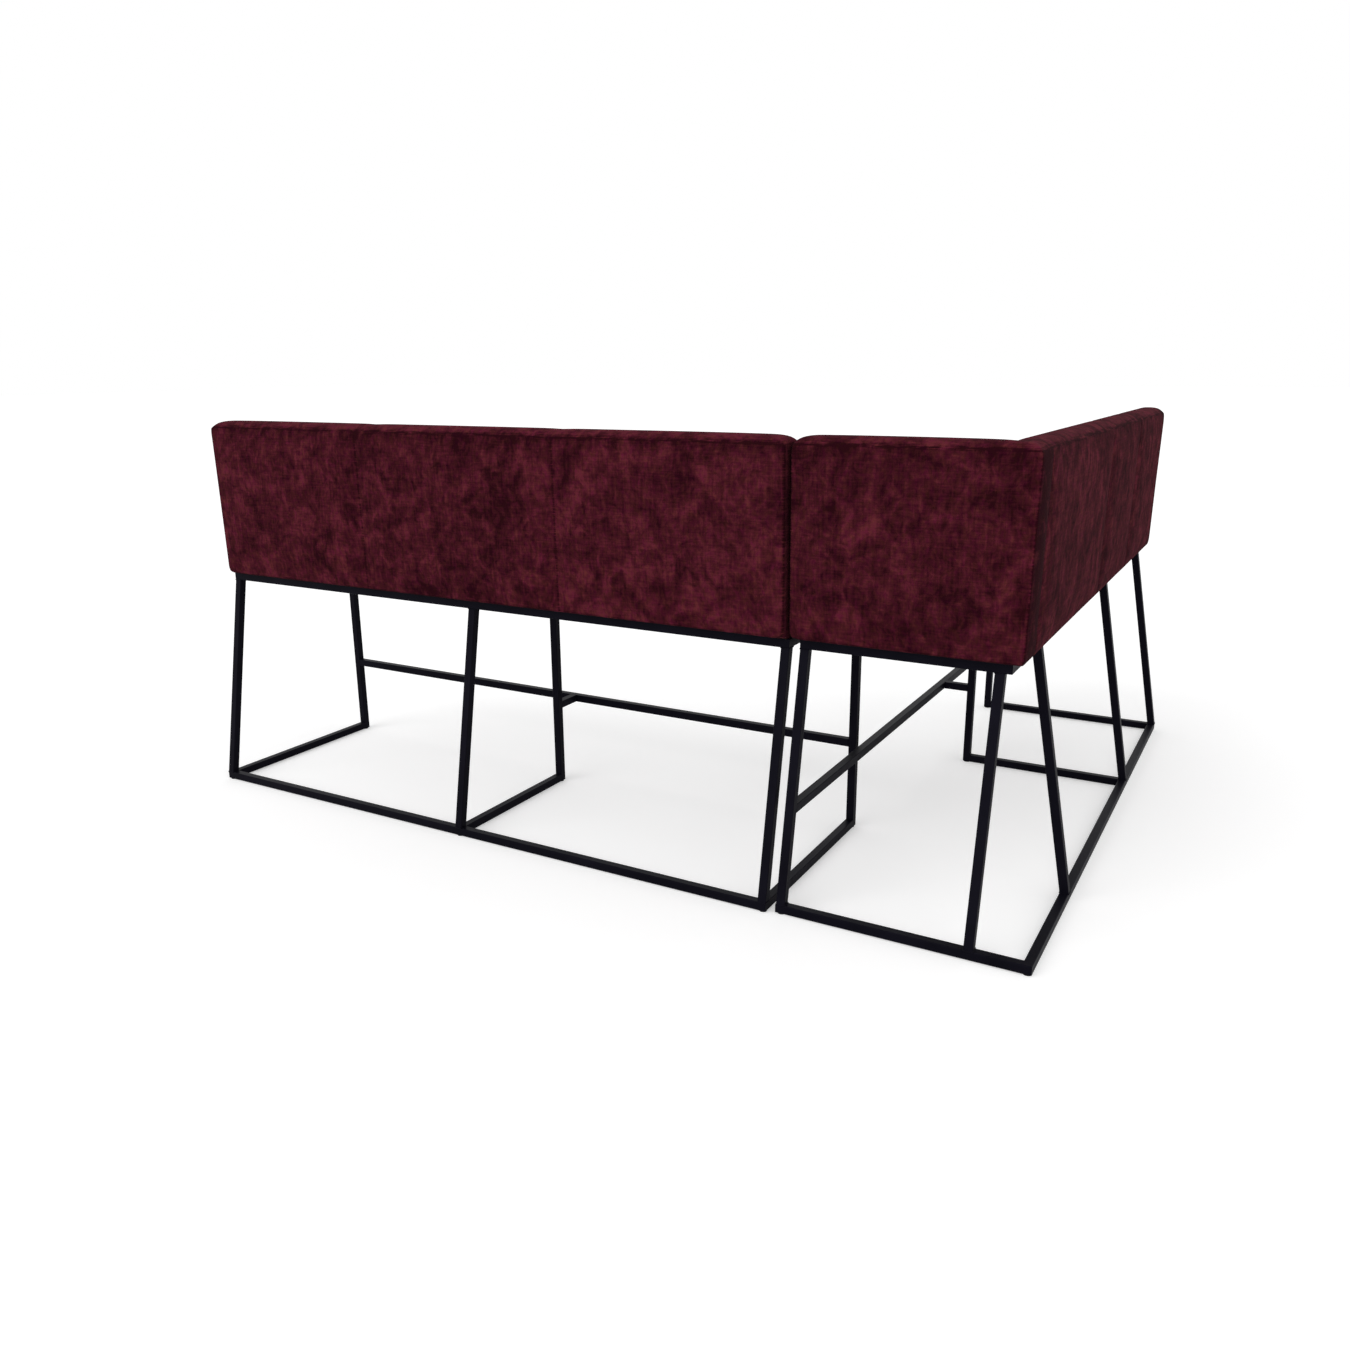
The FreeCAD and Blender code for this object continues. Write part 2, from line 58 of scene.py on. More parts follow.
# Covers, in metres
GRID_STEP = 0.013
GROOVE_STEP = 0.004
EDGE_ROLL = 0.005
EDGE_REACH = 0.007
SEAM_ROLL = 0.0018
SEAM_REACH = 0.003
PANEL_CROWN = 0.002
BORDER_ROWS = 10
BORDER_FULLNESS = 3.6
PANEL_CORNERS = (0.012, 0.020)
BOARD_CORNERS = (0.012, 0.0005)
CROWN_FALL = 0.055
CROWN_AT_END = 0.3
CROWN_AT_FAR_END = 0.6
CROWN_DIP = 0.10
CROWN_DIP_REACH = 0.03
END_CROWN = 0.0025
END_INSET = 0.0025
OUTER_LEAN = 0.009
INNER_LEAN = 0.014
BOARD_COVER = 0.0001
WRAP_SHARE = 0.3
# Painted shade: a dark band on the outer faces just under the top border, where its crown overhangs; how far
# down it reaches, and how dark it is on each back
PAINTED_SHADE_REACH = 0.030
STRAIGHT_PAINTED_SHADE = 0.22
CORNER_PAINTED_SHADE = 0.10
SEAT_CORNERS = (0.012, 0.004)
SEAT_BOARD_CORNERS = (0.0005, 0.0005)
SEAT_REAR_REACH = 0.011
SEAT_FRONT_INSET = 0.0015
SEAT_FRONT_CROWN = 0.004
SEAT_EDGE_DROP = 0.010

# Lie of the pile, as a shift of tone: outer panels, inner face, top border and ends
STRAIGHT_NAPS = ((0.02, -0.05, 0.03), 0.0, 0.22, -0.05)
CORNER_NAPS = ((-0.06, -0.4, 0.02, -0.03, 0.02), 0.0, 0.15, 0.0)
SEAT_NAPS = ((0.02, -0.03, 0.03), 0.0, 0.0, 0.0)

# Places of the seams: the strip's width along the long back, and the long back's own seams in Y
FIRST_SEAM_SHIFT = 0.043
STRIP_WIDTH = 0.110
LONG_SEAMS = (-0.040, 0.490)

# Cloth: its frames, its pressure and the furthest a point may move
CLOTH_FRAMES = 16
CLOTH_PRESSURE = 2.0
CLOTH_CAP = 0.006

# Light
WORLD_LIGHT = 0.66
FLOOR_REACH = 60.0
FLOOR_GLOW = 0.36

# Each sun's name, the way towards it, its strength and its spread in degrees
SUNS = (
    ("key", (-0.35, -1.0, 0.75), 1.1, 50),
    ("front", (0.1, -1.0, 0.1), 0.45, 40),
    ("side", (1.0, -0.25, 0.6), 0.5, 70),
)

# Welds
WELD_RADIUS = 0.0018
WELD_STEPS = 64
WELD_SIDES = 6
WELD_RIPPLE = 0.22
WELD_RIPPLE_TURN = 2.6
TUBE = 0.025
FULL_END_SHARE = 0.8
LEVEL_SLACK = 1e-5
TINY = 1e-9

# Velvet: its darkest, middle and lightest pile, and how warm and cool patches differ from it
VELVET_TONES = (
    (0.05, (0.0190, 0.0028, 0.0052)),
    (0.5, (0.0500, 0.0072, 0.0122)),
    (0.95, (0.1000, 0.0150, 0.0240)),
)
WARM_TINT = (1.03, 1.36, 0.88)
COOL_TINT = (0.97, 0.66, 1.14)

# How far each pattern of the velvet shifts its tone or its hue
MIDDLE_TONE = 0.485
CLOUD_SHARE = 1.8
CRUSH_SHARE = 1.75
STREAK_SHARE = 0.7
CREASE_SHARE = 0.55
PILE_SHARE = 0.2
HUE_SHARE = 3.2
# Along the seams the tone is painted darker, as shade in the seam grooves, with lighter flecks as painted
# sheen along the seam edges where the crease pattern runs high
SEAM_SHARE = 2.2
SEAM_LEVEL = 0.66

# Tones of the other finishes, from dark to light
COAT_TONES = ((0.3, (0.0030, 0.0028, 0.0050)), (0.75, (0.0056, 0.0051, 0.0092)))
BIRCH_TONES = ((0.1, (0.30, 0.19, 0.10)), (0.5, (0.52, 0.38, 0.23)), (0.9, (0.66, 0.51, 0.34)))
ZINC_TONES = ((0.3, (0.42, 0.42, 0.40)), (0.7, (0.62, 0.62, 0.59)))
PLASTIC_TONES = ((0.3, (0.005, 0.005, 0.005)), (0.7, (0.011, 0.011, 0.011)))
LINING_TONES = ((0.3, (0.006, 0.006, 0.006)), (0.75, (0.022, 0.022, 0.022)))


class Wire:
    """A socket of a shader, which Python's operators turn into Math nodes."""

    def __init__(self, shader, socket):
        self.shader = shader
        self.socket = socket

    def maths(self, operation, first, second):
        return self.shader.node("ShaderNodeMath", {"operation": operation}, {0: first, 1: second})

    def largest(self, other):
        return self.maths("MAXIMUM", self, other)

    def __add__(self, other):
        return self.maths("ADD", self, other)

    __radd__ = __add__

    def __sub__(self, other):
        return self.maths("SUBTRACT", self, other)

    def __rsub__(self, other):
        return self.maths("SUBTRACT", other, self)

    def __mul__(self, other):
        return self.maths("MULTIPLY", self, other)

    __rmul__ = __mul__


class Shader:
    """A node tree with one closing shader and a short way to add nodes."""

    def __init__(self, tree, shader):
        self.tree = tree
        self.shader = tree.nodes[shader]

    def node(self, kind, settings=None, inputs=None, output=0):
        made = self.tree.nodes.new(kind)
        for key, value in (settings or {}).items():
            if key == "stops":
                self.set_stops(made.color_ramp, value)
            else:
                setattr(made, key, value)
        for key, value in (inputs or {}).items():
            self.feed(made.inputs[key], value)
        return Wire(self, made.outputs[output])

    def set_stops(self, ramp, stops):
        while len(ramp.elements) < len(stops):
            ramp.elements.new(0.5)
        for element, (place, colour) in zip(ramp.elements, stops):
            element.position = place
            element.color = (*colour, 1.0)

    def feed(self, socket, value):
        if isinstance(value, Wire):
            self.tree.links.new(value.socket, socket)
        else:
            socket.default_value = value

    def surface(self, **inputs):
        for key, value in inputs.items():
            self.feed(self.shader.inputs[key.replace("_", " ")], value)

    def place(self, scale):
        """Object coordinates, stretched by scale."""
        spot = self.node("ShaderNodeTexCoord", output=3)
        return self.node("ShaderNodeMapping", {}, {"Vector": spot, "Scale": scale})

    def attribute(self, name):
        return self.node("ShaderNodeAttribute", {"attribute_name": name}, output=2)

    def noise(self, scale, detail=3.0, roughness=0.55, distortion=0.0):
        """Noise whose features are about one over scale of a metre in X, Y and Z."""
        inputs = {"Vector": self.place(scale), "Scale": 1.0, "Detail": detail, "Roughness": roughness}
        inputs["Distortion"] = distortion
        return self.node("ShaderNodeTexNoise", {}, inputs)

    def ramp(self, share, *stops):
        return self.node("ShaderNodeValToRGB", {"stops": stops}, {"Fac": share})

    def mix(self, share, first, second):
        inputs = {"Factor": share, 6: first, 7: second}
        return self.node("ShaderNodeMix", {"data_type": "RGBA"}, inputs, output=2)

    def bump(self, height, strength, distance):
        return self.node("ShaderNodeBump", {}, {"Strength": strength, "Distance": distance, "Height": height})


class Finish(Shader):
    """A material of the object."""

    def __init__(self, name):
        self.material = bpy.data.materials.new(name)
        self.material.use_nodes = True
        super().__init__(self.material.node_tree, "Principled BSDF")


def tinted(tones, tint):
    return [(place, [value * share for value, share in zip(colour, tint)]) for place, colour in tones]


def velvet_finish():
    finish = Finish("velvet")
    clouds = finish.noise((9, 9, 8), 5.0, 0.62, 1.1)
    crush = finish.noise((30, 30, 25), 5.0, 0.68, 0.7)
    streaks = finish.noise((150, 150, 15), 3.0, 0.6)
    creases = finish.noise((22, 22, 240), 2.0, 0.5)
    pile = finish.noise((900, 900, 500), 2.0)
    hue = finish.noise((80, 80, 60), 4.0, 0.7)
    nap, sewn, tuck = [finish.attribute(name) for name in ("nap", "sewn", "tuck")]
    # The tone is lowered by painted shade under the top border's overhanging crown
    tone = MIDDLE_TONE + nap - tuck + sewn * (creases - SEAM_LEVEL) * SEAM_SHARE
    tone = tone + (clouds - 0.5) * CLOUD_SHARE + (crush - 0.5) * CRUSH_SHARE + (pile - 0.5) * PILE_SHARE
    tone = tone + (streaks - 0.5) * STREAK_SHARE + (creases - 0.5) * CREASE_SHARE
    warm = finish.ramp(tone, *tinted(VELVET_TONES, WARM_TINT))
    cool = finish.ramp(tone, *tinted(VELVET_TONES, COOL_TINT))
    colour = finish.mix(0.5 + (hue - 0.5) * HUE_SHARE, cool, warm)
    finish.surface(
        Base_Color=colour, Roughness=0.8 + (crush - 0.5) * 0.2, Specular_IOR_Level=0.0, Sheen_Weight=0.03,
        Sheen_Roughness=0.4, Sheen_Tint=(1.0, 0.75, 0.75, 1.0),
        Normal=finish.bump(pile + crush * 2.0, 0.2, 0.0012))
    return finish.material


def frame_finish():
    finish = Finish("black_powder_coat")
    peel = finish.noise((420, 420, 420), 2.0)
    dust = finish.noise((7, 7, 7), 4.0, 0.6)
    colour = finish.ramp(dust, *COAT_TONES)
    finish.surface(
        Base_Color=colour, Roughness=0.32 + dust * 0.16, Specular_IOR_Level=0.04,
        Specular_Tint=(0.78, 0.76, 1.0, 1.0), Normal=finish.bump(peel, 0.15, 0.0006))
    return finish.material


def plywood_finish():
    finish = Finish("birch_plywood")
    layers = finish.node(
        "ShaderNodeTexWave", {"bands_direction": "Z"},
        {"Vector": finish.place((1, 1, 1)), "Scale": 110.0, "Distortion": 0.6}, output=1)
    grain = finish.noise((5, 90, 5), 5.0, 0.6)
    fibre = finish.noise((30, 700, 30), 2.0)
    mixed = grain * 0.55 + fibre * 0.25 + layers * 0.2
    colour = finish.ramp(mixed, *BIRCH_TONES)
    finish.surface(Base_Color=colour, Roughness=0.62 + fibre * 0.2, Normal=finish.bump(fibre, 0.2, 0.0006))
    return finish.material


def zinc_finish():
    finish = Finish("zinc_steel")
    spangle = finish.noise((260, 260, 260), 3.0)
    colour = finish.ramp(spangle, *ZINC_TONES)
    finish.surface(
        Base_Color=colour, Metallic=1.0, Roughness=0.3 + spangle * 0.2,
        Normal=finish.bump(spangle, 0.1, 0.0004))
    return finish.material


def plastic_finish():
    finish = Finish("black_plastic")
    texture = finish.noise((650, 650, 650), 2.0)
    colour = finish.ramp(texture, *PLASTIC_TONES)
    finish.surface(
        Base_Color=colour, Roughness=0.55 + texture * 0.2, Specular_IOR_Level=0.15,
        Normal=finish.bump(texture, 0.3, 0.0004))
    return finish.material


def lining_finish():
    finish = Finish("black_lining")
    felt = finish.noise((380, 380, 380), 4.0, 0.7)
    colour = finish.ramp(felt, *LINING_TONES)
    finish.surface(
        Base_Color=colour, Roughness=0.85 + felt * 0.12, Specular_IOR_Level=0.2,
        Normal=finish.bump(felt, 0.4, 0.0008))
    return finish.material


FINISHES = {
    "velvet": velvet_finish(),
    "black_frame": frame_finish(),
    "plywood": plywood_finish(),
    "zinc_steel": zinc_finish(),
    "black_plastic": plastic_finish(),
    "black_lining": lining_finish(),
}


def dress_frame():
    """Give every CAD piece the finish of its slot."""
    for part in frame["record"]["subparts"]:
        mesh = frame["nodes"][part["node"]].data
        mesh.materials.clear()
        mesh.materials.append(FINISHES[part["material_slot"]])


def add_piece(name, mesh, slot):
    piece = bpy.data.objects.new(name, mesh)
    bpy.context.scene.collection.objects.link(piece)
    mesh.materials.append(FINISHES[slot])
    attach(piece, "root")
    return piece


def spaced(length, marks):
    """Places from 0 to length, about a grid step apart, with close steps at each mark and edge."""
    edges = {0.0, GROOVE_STEP, length - GROOVE_STEP, length}
    for mark in marks:
        edges |= {mark - GROOVE_STEP, mark, mark + GROOVE_STEP}
    edges = sorted(edges)
    places = [0.0]
    for low, high in zip(edges, edges[1:]):
        count = max(1, round((high - low) / GRID_STEP))
        places += [low + (high - low) * step / count for step in range(1, count + 1)]
    return np.array(places)


def round_corners(run, rise, length, height, top, bottom):
    """Bend the edge of a rectangular grid round its four corners."""
    run, rise = run.copy(), rise.copy()
    for at_end in (False, True):
        for at_top, radius in ((True, top), (False, bottom)):
            along = (run - (length - radius) if at_end else radius - run) / radius
            up = (rise - (height - radius) if at_top else radius - rise) / radius
            inside = (along > 0) & (up > 0)
            scale = np.maximum(along, up) / np.maximum(np.hypot(along, up), TINY) * radius
            run = np.where(inside, length - radius + along * scale if at_end else radius - along * scale, run)
            rise = np.where(inside, height - radius + up * scale if at_top else radius - up * scale, rise)
    return run, rise


def panel_swell(run, rise, length, height, seams):
    """How far a sewn face stands out: rolled in at its edges, nicked at its seams, gently crowned between."""
    edges = np.array([0.0, *seams, length])
    place = np.clip(np.searchsorted(edges, run, "right"), 1, len(edges) - 1)
    low, high = edges[place - 1], edges[place]
    near_seam = np.minimum(run - low, high - run)
    near_edge = np.minimum(np.minimum(run, length - run), np.minimum(rise, height - rise))
    crown = (1 - (2 * (run - low) / (high - low) - 1) ** 2) * (1 - (2 * rise / height - 1) ** 2)
    roll = -EDGE_ROLL * np.exp(-near_edge / EDGE_REACH)
    nick = -SEAM_ROLL * np.exp(-near_seam / SEAM_REACH) * (1 - np.exp(-near_edge / EDGE_REACH))
    return roll + nick + PANEL_CROWN * crown


def straight_path(origin, along, upward, outward):
    """Places a cover's points on a straight run."""
    origin, along, upward, outward = [np.array(value) for value in (origin, along, upward, outward)]

    def put(run, rise, out):
        return origin + run[:, None] * along + rise[:, None] * upward + out[:, None] * outward

    return put


def corner_path(start, corner, end, bottom):
    """Places a cover's points on a run along X to the corner, mitred, then along Y to the end."""
    first, second = corner.x - start, end - corner.y

    def put(run, rise, out):
        on_first = run <= first
        x = np.where(on_first, start + run * (first + out) / first, corner.x + out)
        y = np.where(on_first, corner.y - out, corner.y - out + (run - first) * (second + out) / second)
        return np.stack([x, y, bottom + rise], axis=1)

    return put


def border_crown(run, length, height, dips, end_shares):
    """Crown of a top border along its run, falling towards the ends and dipping at the seams."""
    near_end = np.clip(np.minimum(run, length - run) / CROWN_FALL, 0, 1)
    end_share = np.where(run < length / 2, *end_shares)
    crown = end_share + (1 - end_share) * np.sqrt(1 - (1 - near_end) ** 2)
    for dip in dips:
        crown = crown * (1 - CROWN_DIP * np.exp(-((run - dip) / CROWN_DIP_REACH) ** 2))
    return height * crown


class BoxedCover:
    """A padded cover of two sewn faces joined by a border that runs all round them."""

    def __init__(self, name, put, length, height, seams, inner_seams):
        self.name = name
        self.put = put
        self.length = length
        self.height = height
        self.seams = seams
        self.inner_seams = inner_seams
        self.runs = spaced(length, sorted({*seams, *inner_seams}))
        self.columns = len(self.runs)
        rises = spaced(height, ())
        self.rows = len(rises)
        self.flat = [grid.ravel() for grid in np.meshgrid(self.runs, rises, indexing="ij")]
        self.second = self.columns * self.rows
        self.loop = self.edge_loop()

    def edge_loop(self):
        """Numbers of the points round a face: along its foot, up its end, back along its top and down."""
        columns, rows = self.columns, self.rows
        spots = [column * rows for column in range(columns)]
        spots += [(columns - 1) * rows + row for row in range(1, rows)]
        spots += [column * rows + rows - 1 for column in range(columns - 2, -1, -1)]
        spots += [row for row in range(rows - 2, 0, -1)]
        return spots

    def build(self, outer, inner, inner_drop, inner_swell, corners, crown, nap, tuck):
        """outer and inner give a face's offset at a rise; crown gives the top border's height."""
        size = (self.length, self.height)
        run, rise = round_corners(*self.flat, *size, *corners[0])
        inner_run, inner_rise = round_corners(*self.flat, *size, *corners[1])
        inner_rise = inner_rise - inner_drop * (1 - inner_rise / self.height)
        out_face = outer(rise) + panel_swell(*self.flat, *size, self.seams)
        in_face = inner(rise) - inner_swell * panel_swell(*self.flat, *size, self.inner_seams)
        rings = self.border((run, rise, out_face), (inner_run, inner_rise, in_face), crown)
        points = np.vstack([self.put(run, rise, out_face), self.put(inner_run, inner_rise, in_face), *rings])
        faces, naps = self.faces(*nap)
        mesh = bpy.data.meshes.new(self.name)
        mesh.from_pydata(points.tolist(), [], faces)
        mesh.attributes.new("nap", "FLOAT", "FACE").data.foreach_set("value", naps)
        held = self.held_points()
        # Seam points, where the velvet gets its painted seam shade and painted sheen flecks
        sewn = np.zeros(len(points))
        sewn[held] = 1.0
        mesh.attributes.new("sewn", "FLOAT", "POINT").data.foreach_set("value", sewn)
        # Painted shade on the outer face, darkest at the top border and fading downwards
        shade = np.zeros(len(points))
        shade[:self.second] = tuck * np.exp(-((self.height - rise) / PAINTED_SHADE_REACH) ** 2)
        mesh.attributes.new("tuck", "FLOAT", "POINT").data.foreach_set("value", shade)
        fix_normals(mesh)
        self.crease_foot(mesh, *corners[1])
        return mesh, held

    def border(self, outer_face, inner_face, crown):
        """Rings of points across the border, crowned at the top and wrapped under the board at the foot."""
        outer_run, outer_rise, out_face = [values[self.loop] for values in outer_face]
        inner_run, inner_rise, in_face = [values[self.loop] for values in inner_face]
        rings = []
        for row in range(1, BORDER_ROWS):
            share = row / BORDER_ROWS
            rounded = 1 - abs(2 * share - 1) ** BORDER_FULLNESS
            wrapped = min(1.0, share / WRAP_SHARE)
            run = outer_run * (1 - wrapped) + inner_run * wrapped
            rise = outer_rise * (1 - wrapped) + inner_rise * wrapped
            ahead_run, ahead_rise = np.roll(run, -1) - np.roll(run, 1), np.roll(rise, -1) - np.roll(rise, 1)
            step = np.hypot(ahead_run, ahead_rise)
            normal_run, normal_rise = ahead_rise / step, -ahead_run / step
            top = np.where(normal_rise > 0, normal_rise ** 2 * crown(run), 0.0)
            swell = (top + normal_run ** 2 * END_CROWN) * rounded
            out = out_face * (1 - share) + in_face * share
            rings.append(self.put(run + normal_run * swell, rise + normal_rise * swell, out))
        return rings

    def faces(self, outer_naps, inner_nap, border_nap, end_nap):
        faces, naps = [], []
        for column in range(self.columns - 1):
            middle = (self.runs[column] + self.runs[column + 1]) / 2
            panel = int(np.searchsorted(np.array(self.seams), middle))
            for row in range(self.rows - 1):
                spot = column * self.rows + row
                quad = (spot, spot + self.rows, spot + self.rows + 1, spot + 1)
                faces += [quad, tuple(self.second + corner for corner in reversed(quad))]
                naps += [outer_naps[panel], inner_nap]
        count = len(self.loop)
        foot_end, top_start = self.columns - 1, self.columns + self.rows - 2
        top_end = 2 * self.columns + self.rows - 3
        for ring in range(BORDER_ROWS):
            for spot in range(count):
                after = (spot + 1) % count
                corners = ((ring, spot), (ring, after), (ring + 1, after), (ring + 1, spot))
                faces.append(tuple(self.ring_spot(*corner) for corner in corners))
                naps.append(end_nap if foot_end <= spot < top_start or spot >= top_end else border_nap)
        return faces, naps

    def ring_spot(self, ring, spot):
        if ring == 0:
            return self.loop[spot]
        if ring == BORDER_ROWS:
            return self.second + self.loop[spot]
        return 2 * self.second + (ring - 1) * len(self.loop) + spot

    def crease_foot(self, mesh, top, foot):
        """Keep the seam round the inner face, and the corners squared over the board, crisp when smoothed."""
        spots = []
        if foot < GROOVE_STEP:
            spots += [0, self.columns - 1]
        if top < GROOVE_STEP:
            spots += [self.columns + self.rows - 2, 2 * self.columns + self.rows - 3]
        rows = range(round(WRAP_SHARE * BORDER_ROWS), BORDER_ROWS + 1)
        kept = [{self.ring_spot(row, spot) for row in rows} for spot in spots]
        kept.append({self.second + spot for spot in self.loop})
        creases = [float(any(group.issuperset(edge.vertices) for group in kept)) for edge in mesh.edges]
        mesh.attributes.new("crease_edge", "FLOAT", "EDGE").data.foreach_set("value", creases)

    def held_points(self):
        """The sewn points, which the cloth can't move."""
        held = {*self.loop, *(self.second + spot for spot in self.loop)}
        for seams, first in ((self.seams, 0), (self.inner_seams, self.second)):
            for seam in seams:
                column = int(np.argmin(abs(self.runs - seam)))
                held |= {first + column * self.rows + row for row in range(self.rows)}
        return sorted(held)


def fix_normals(mesh):
    shell = bmesh.new()
    shell.from_mesh(mesh)
    bmesh.ops.recalc_face_normals(shell, faces=shell.faces)
    shell.to_mesh(mesh)
    shell.free()
    mesh.shade_smooth()


def inflate(piece, held):
    """Let the cover swell between its held seams under a little pressure, and keep the result."""
    mesh = piece.data
    start = np.array([vertex.co for vertex in mesh.vertices])
    group = piece.vertex_groups.new(name="seams")
    group.add(held, 1.0, "REPLACE")
    cloth = piece.modifiers.new("swell", "CLOTH")
    cloth.settings.quality = 5
    cloth.settings.mass = 0.4
    cloth.settings.tension_stiffness = 25
    cloth.settings.compression_stiffness = 25
    cloth.settings.shear_stiffness = 10
    cloth.settings.bending_stiffness = 2.0
    cloth.settings.vertex_group_mass = "seams"
    cloth.settings.pin_stiffness = 1.0
    cloth.settings.use_pressure = True
    cloth.settings.uniform_pressure_force = CLOTH_PRESSURE
    cloth.settings.effector_weights.gravity = 0.0
    cloth.collision_settings.use_collision = False
    cloth.point_cache.frame_end = CLOTH_FRAMES
    scene = bpy.context.scene
    for number in range(1, CLOTH_FRAMES + 1):
        scene.frame_set(number)
    settled = piece.evaluated_get(bpy.context.evaluated_depsgraph_get()).to_mesh()
    end = np.array([vertex.co for vertex in settled.vertices])
    piece.modifiers.remove(cloth)
    piece.vertex_groups.remove(group)
    scene.frame_set(1)
    move = end - start
    size = np.linalg.norm(move, axis=1, keepdims=True)
    move *= np.minimum(1.0, CLOTH_CAP / np.maximum(size, TINY))
    mesh.vertices.foreach_set("co", (start + move).ravel())
    mesh.update()


def finish_cover(mesh, held, replaced):
    piece = add_piece(mesh.name, mesh, "velvet")
    inflate(piece, held)
    smooth = piece.modifiers.new("smooth", "SUBSURF")
    smooth.levels = 1
    smooth.render_levels = 1
    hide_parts(*replaced)


def thirds(length):
    return [length / 3, length * 2 / 3]


def back_cover(
        name, put, length, bottom, reaches, border_node, seams, inner_seams, end_shares, naps, tuck,
        replaced):
    """Cover of one back; reaches are its outer and inner faces' offsets at the top."""
    low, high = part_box(border_node)
    height = low.z - bottom
    crown = high.z - low.z
    outer_reach, inner_reach = reaches
    cover = BoxedCover(name, put, length, height, seams, inner_seams)
    mesh, held = cover.build(
        lambda rise: outer_reach - OUTER_LEAN * (1 - rise / height),
        lambda rise: inner_reach - INNER_LEAN * (1 - rise / height),
        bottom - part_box("straight_seat_board")[0].z - BOARD_COVER, 1.0, (PANEL_CORNERS, BOARD_CORNERS),
        lambda run: border_crown(run, length, crown, inner_seams, end_shares), naps, tuck)
    finish_cover(mesh, held, replaced)


def straight_back():
    low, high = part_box("straight_back_outer_pad")
    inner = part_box("straight_back_inner_pad")[1].y
    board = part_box("straight_back_board")[0].y
    start = low.x + END_INSET
    length = high.x - END_INSET - start
    put = straight_path((start, board, low.z), (1, 0, 0), (0, 0, 1), (0, -1, 0))
    reaches = (board - low.y, board - inner + INNER_LEAN)
    inner_seams = thirds(length)
    seams = [inner_seams[0] - FIRST_SEAM_SHIFT, inner_seams[1]]
    back_cover(
        "straight_back_cover", put, length, low.z, reaches, "straight_back_top_border", seams, inner_seams,
        (CROWN_AT_END, CROWN_AT_END), STRAIGHT_NAPS, STRAIGHT_PAINTED_SHADE,
        ("straight_back_outer_pad", "straight_back_inner_pad", "straight_back_top_border"))


def corner_back():
    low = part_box("corner_end_outer_pad")[0]
    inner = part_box("corner_end_inner_pad")[1].y
    start = low.x + END_INSET
    corner = Vector((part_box("corner_long_back_board")[1].x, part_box("corner_end_back_board")[0].y))
    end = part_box("corner_long_outer_pad")[1].y - END_INSET
    reaches = (corner.y - low.y, corner.y - inner + INNER_LEAN)
    first, second = corner.x - start, end - corner.y
    stretch = second / (second + reaches[0])
    strip = first + STRIP_WIDTH * stretch
    long_seams = [first + (seam - corner.y + reaches[0]) * stretch for seam in LONG_SEAMS]
    put = corner_path(start, corner, end, low.z)
    back_cover(
        "corner_back_cover", put, first + second, low.z, reaches, "corner_long_top_border",
        [first, strip, *long_seams], [first, *long_seams], (CROWN_AT_END, CROWN_AT_FAR_END), CORNER_NAPS,
        CORNER_PAINTED_SHADE,
        ("corner_end_outer_pad", "corner_end_inner_pad", "corner_end_top_border", "corner_long_outer_pad",
         "corner_long_inner_pad", "corner_long_top_border"))


def seat_cover(name, node, board, along, upward):
    """Cover of one seat, wrapped round its board."""
    along, upward = Vector(along), Vector(upward)
    low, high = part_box(node)
    start, end = sorted((low.dot(along), high.dot(along)))
    rear, front = sorted((low.dot(upward), high.dot(upward)))
    rear -= SEAT_REAR_REACH
    length = end - start - 2 * END_INSET
    height = front - rear - SEAT_FRONT_INSET
    put = straight_path(along * (start + END_INSET) + upward * rear, along, upward, (0, 0, 1))
    cover = BoxedCover(name, put, length, height, thirds(length), [])
    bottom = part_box(board)[0].z + BOARD_COVER
    mesh, held = cover.build(
        lambda rise: high.z - SEAT_EDGE_DROP * (2 * rise / height - 1) ** 2,
        lambda rise: np.full_like(rise, bottom), 0.0, 0.0, (SEAT_CORNERS, SEAT_BOARD_CORNERS),
        lambda run: np.full_like(run, SEAT_FRONT_CROWN), SEAT_NAPS, 0.0)
    finish_cover(mesh, held, (node,))


def make_covers():
    straight_back()
    corner_back()
    seat_cover("straight_seat_cover", "straight_seat_cushion", "straight_seat_board", (1, 0, 0), (0, 1, 0))
    seat_cover("corner_seat_cover", "corner_seat_cushion", "corner_seat_board", (0, 1, 0), (-1, 0, 0))


def weld_ring(points, faces, centre, width_x, width_y):
    """Small rippled bead round the end of a leg."""
    first = len(points)
    for step in range(WELD_STEPS):
        angle = 2 * math.pi * step / WELD_STEPS
        shape = max(abs(math.cos(angle)), abs(math.sin(angle)))
        out = Vector((math.cos(angle) / shape * width_x / 2, math.sin(angle) / shape * width_y / 2, 0))
        way = Vector((math.cos(angle), math.sin(angle), 0))
        thick = WELD_RADIUS * (1 + WELD_RIPPLE * math.sin(step * WELD_RIPPLE_TURN))
        for turn in range(WELD_SIDES):
            roll = 2 * math.pi * turn / WELD_SIDES
            lift = Vector((0, 0, thick * math.sin(roll)))
            points.append(centre + out + way * (thick * math.cos(roll)) + lift)
    for step in range(WELD_STEPS):
        here = first + step * WELD_SIDES
        ahead = first + (step + 1) % WELD_STEPS * WELD_SIDES
        for turn in range(WELD_SIDES):
            after = (turn + 1) % WELD_SIDES
            faces.append((here + turn, here + after, ahead + after, ahead + turn))


def leg_ends(node):
    """Centre and widths of a leg's two level ends, from the vertices that lie there."""
    spots = np.array([vertex.co for vertex in frame["nodes"][node].data.vertices])
    for height in (spots[:, 2].max(), spots[:, 2].min()):
        ring = spots[abs(spots[:, 2] - height) < LEVEL_SLACK]
        low, high = ring.min(0), ring.max(0)
        yield Vector((low + high) / 2), high - low


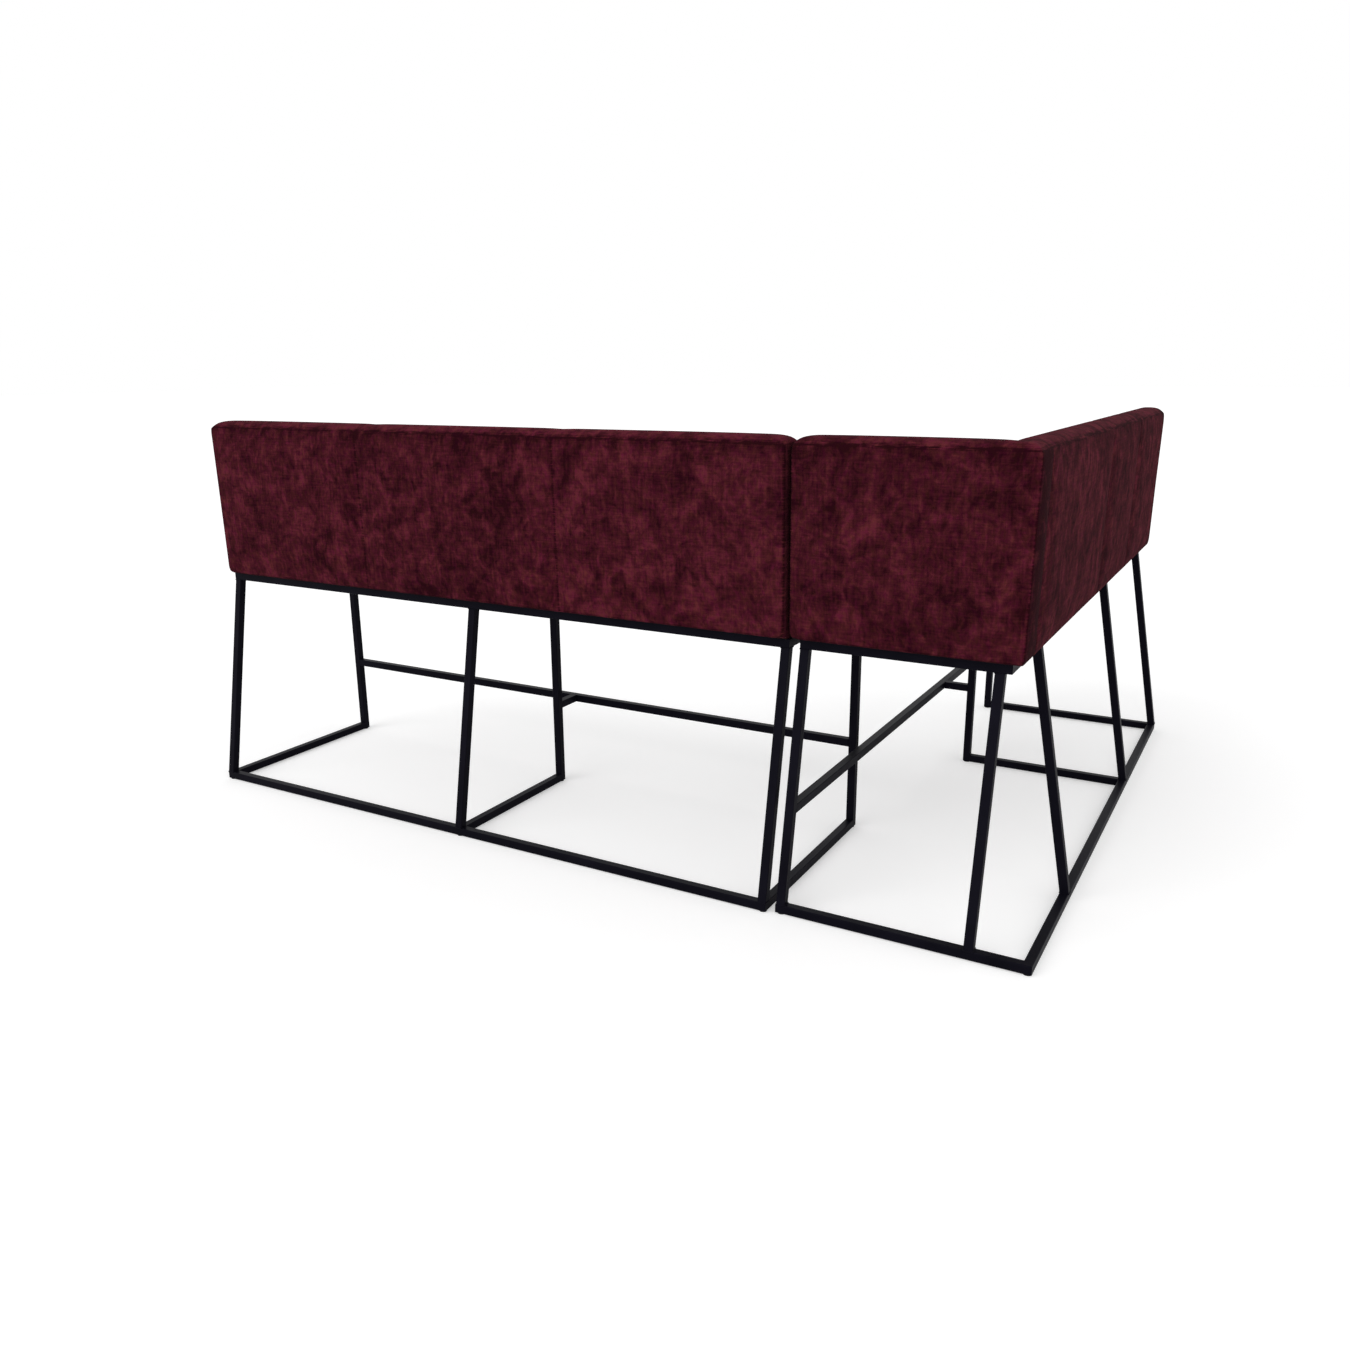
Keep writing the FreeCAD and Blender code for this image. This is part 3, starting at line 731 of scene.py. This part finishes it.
def make_welds():
    points, faces = [], []
    for node in sorted(frame["nodes"]):
        if node.endswith("_leg"):
            for centre, widths in leg_ends(node):
                if min(widths[:2]) > FULL_END_SHARE * TUBE:
                    weld_ring(points, faces, centre, widths[0], widths[1])
    mesh = bpy.data.meshes.new("leg_welds")
    mesh.from_pydata(points, [], faces)
    fix_normals(mesh)
    add_piece("leg_welds", mesh, "black_frame")


def make_stage():
    """Pale floor, white surroundings and soft studio light."""
    floor = bpy.data.meshes.new("floor")
    corners = ((-1, -1), (1, -1), (1, 1), (-1, 1))
    floor.from_pydata([(FLOOR_REACH * x, FLOOR_REACH * y, 0) for x, y in corners], [], [(0, 1, 2, 3)])
    ground = bpy.data.objects.new("floor", floor)
    bpy.context.scene.collection.objects.link(ground)
    finish = Finish("pale_floor")
    seen = finish.node("ShaderNodeLightPath", output="Is Camera Ray")
    glow = finish.mix(seen, (0.0, 0.0, 0.0, 1.0), (FLOOR_GLOW, FLOOR_GLOW, FLOOR_GLOW, 1.0))
    finish.surface(
        Base_Color=(0.8, 0.8, 0.8, 1.0), Roughness=0.9, Specular_IOR_Level=0.0, Emission_Color=glow,
        Emission_Strength=1.0)
    floor.materials.append(finish.material)
    make_world()
    for sun in SUNS:
        make_sun(*sun)


def make_world():
    world = bpy.data.worlds.new("studio")
    bpy.context.scene.world = world
    world.use_nodes = True
    sky = Shader(world.node_tree, "Background")
    kinds = ("Camera", "Glossy", "Transmission")
    camera, glossy, clear = [sky.node("ShaderNodeLightPath", output=f"Is {kind} Ray") for kind in kinds]
    shown = camera.largest(glossy).largest(clear)
    sky.surface(Color=(1.0, 1.0, 1.0, 1.0), Strength=WORLD_LIGHT + shown * (1.0 - WORLD_LIGHT))


def make_sun(name, way, strength, spread):
    sun = bpy.data.lights.new(name, "SUN")
    sun.energy = strength
    sun.angle = math.radians(spread)
    holder = bpy.data.objects.new(name, sun)
    bpy.context.scene.collection.objects.link(holder)
    holder.rotation_euler = (-Vector(way)).to_track_quat("-Z", "Y").to_euler()


def make_camera():
    lens = bpy.data.cameras.new("camera")
    lens.sensor_width = SENSOR
    lens.lens = FOCAL_PIXELS / PICTURE_HEIGHT * SENSOR
    camera = bpy.data.objects.new("camera", lens)
    bpy.context.scene.collection.objects.link(camera)
    turn = Matrix.Rotation(CAMERA_YAW, 4, "Z") @ Matrix.Rotation(math.pi / 2 + CAMERA_PITCH, 4, "X")
    camera.matrix_world = Matrix.Translation(CAMERA_PLACE) @ turn @ Matrix.Rotation(CAMERA_ROLL, 4, "Z")
    bpy.context.scene.camera = camera


make_camera()
dress_frame()
make_covers()
make_welds()
make_stage()
bpy.context.scene.view_settings.view_transform = "Standard"
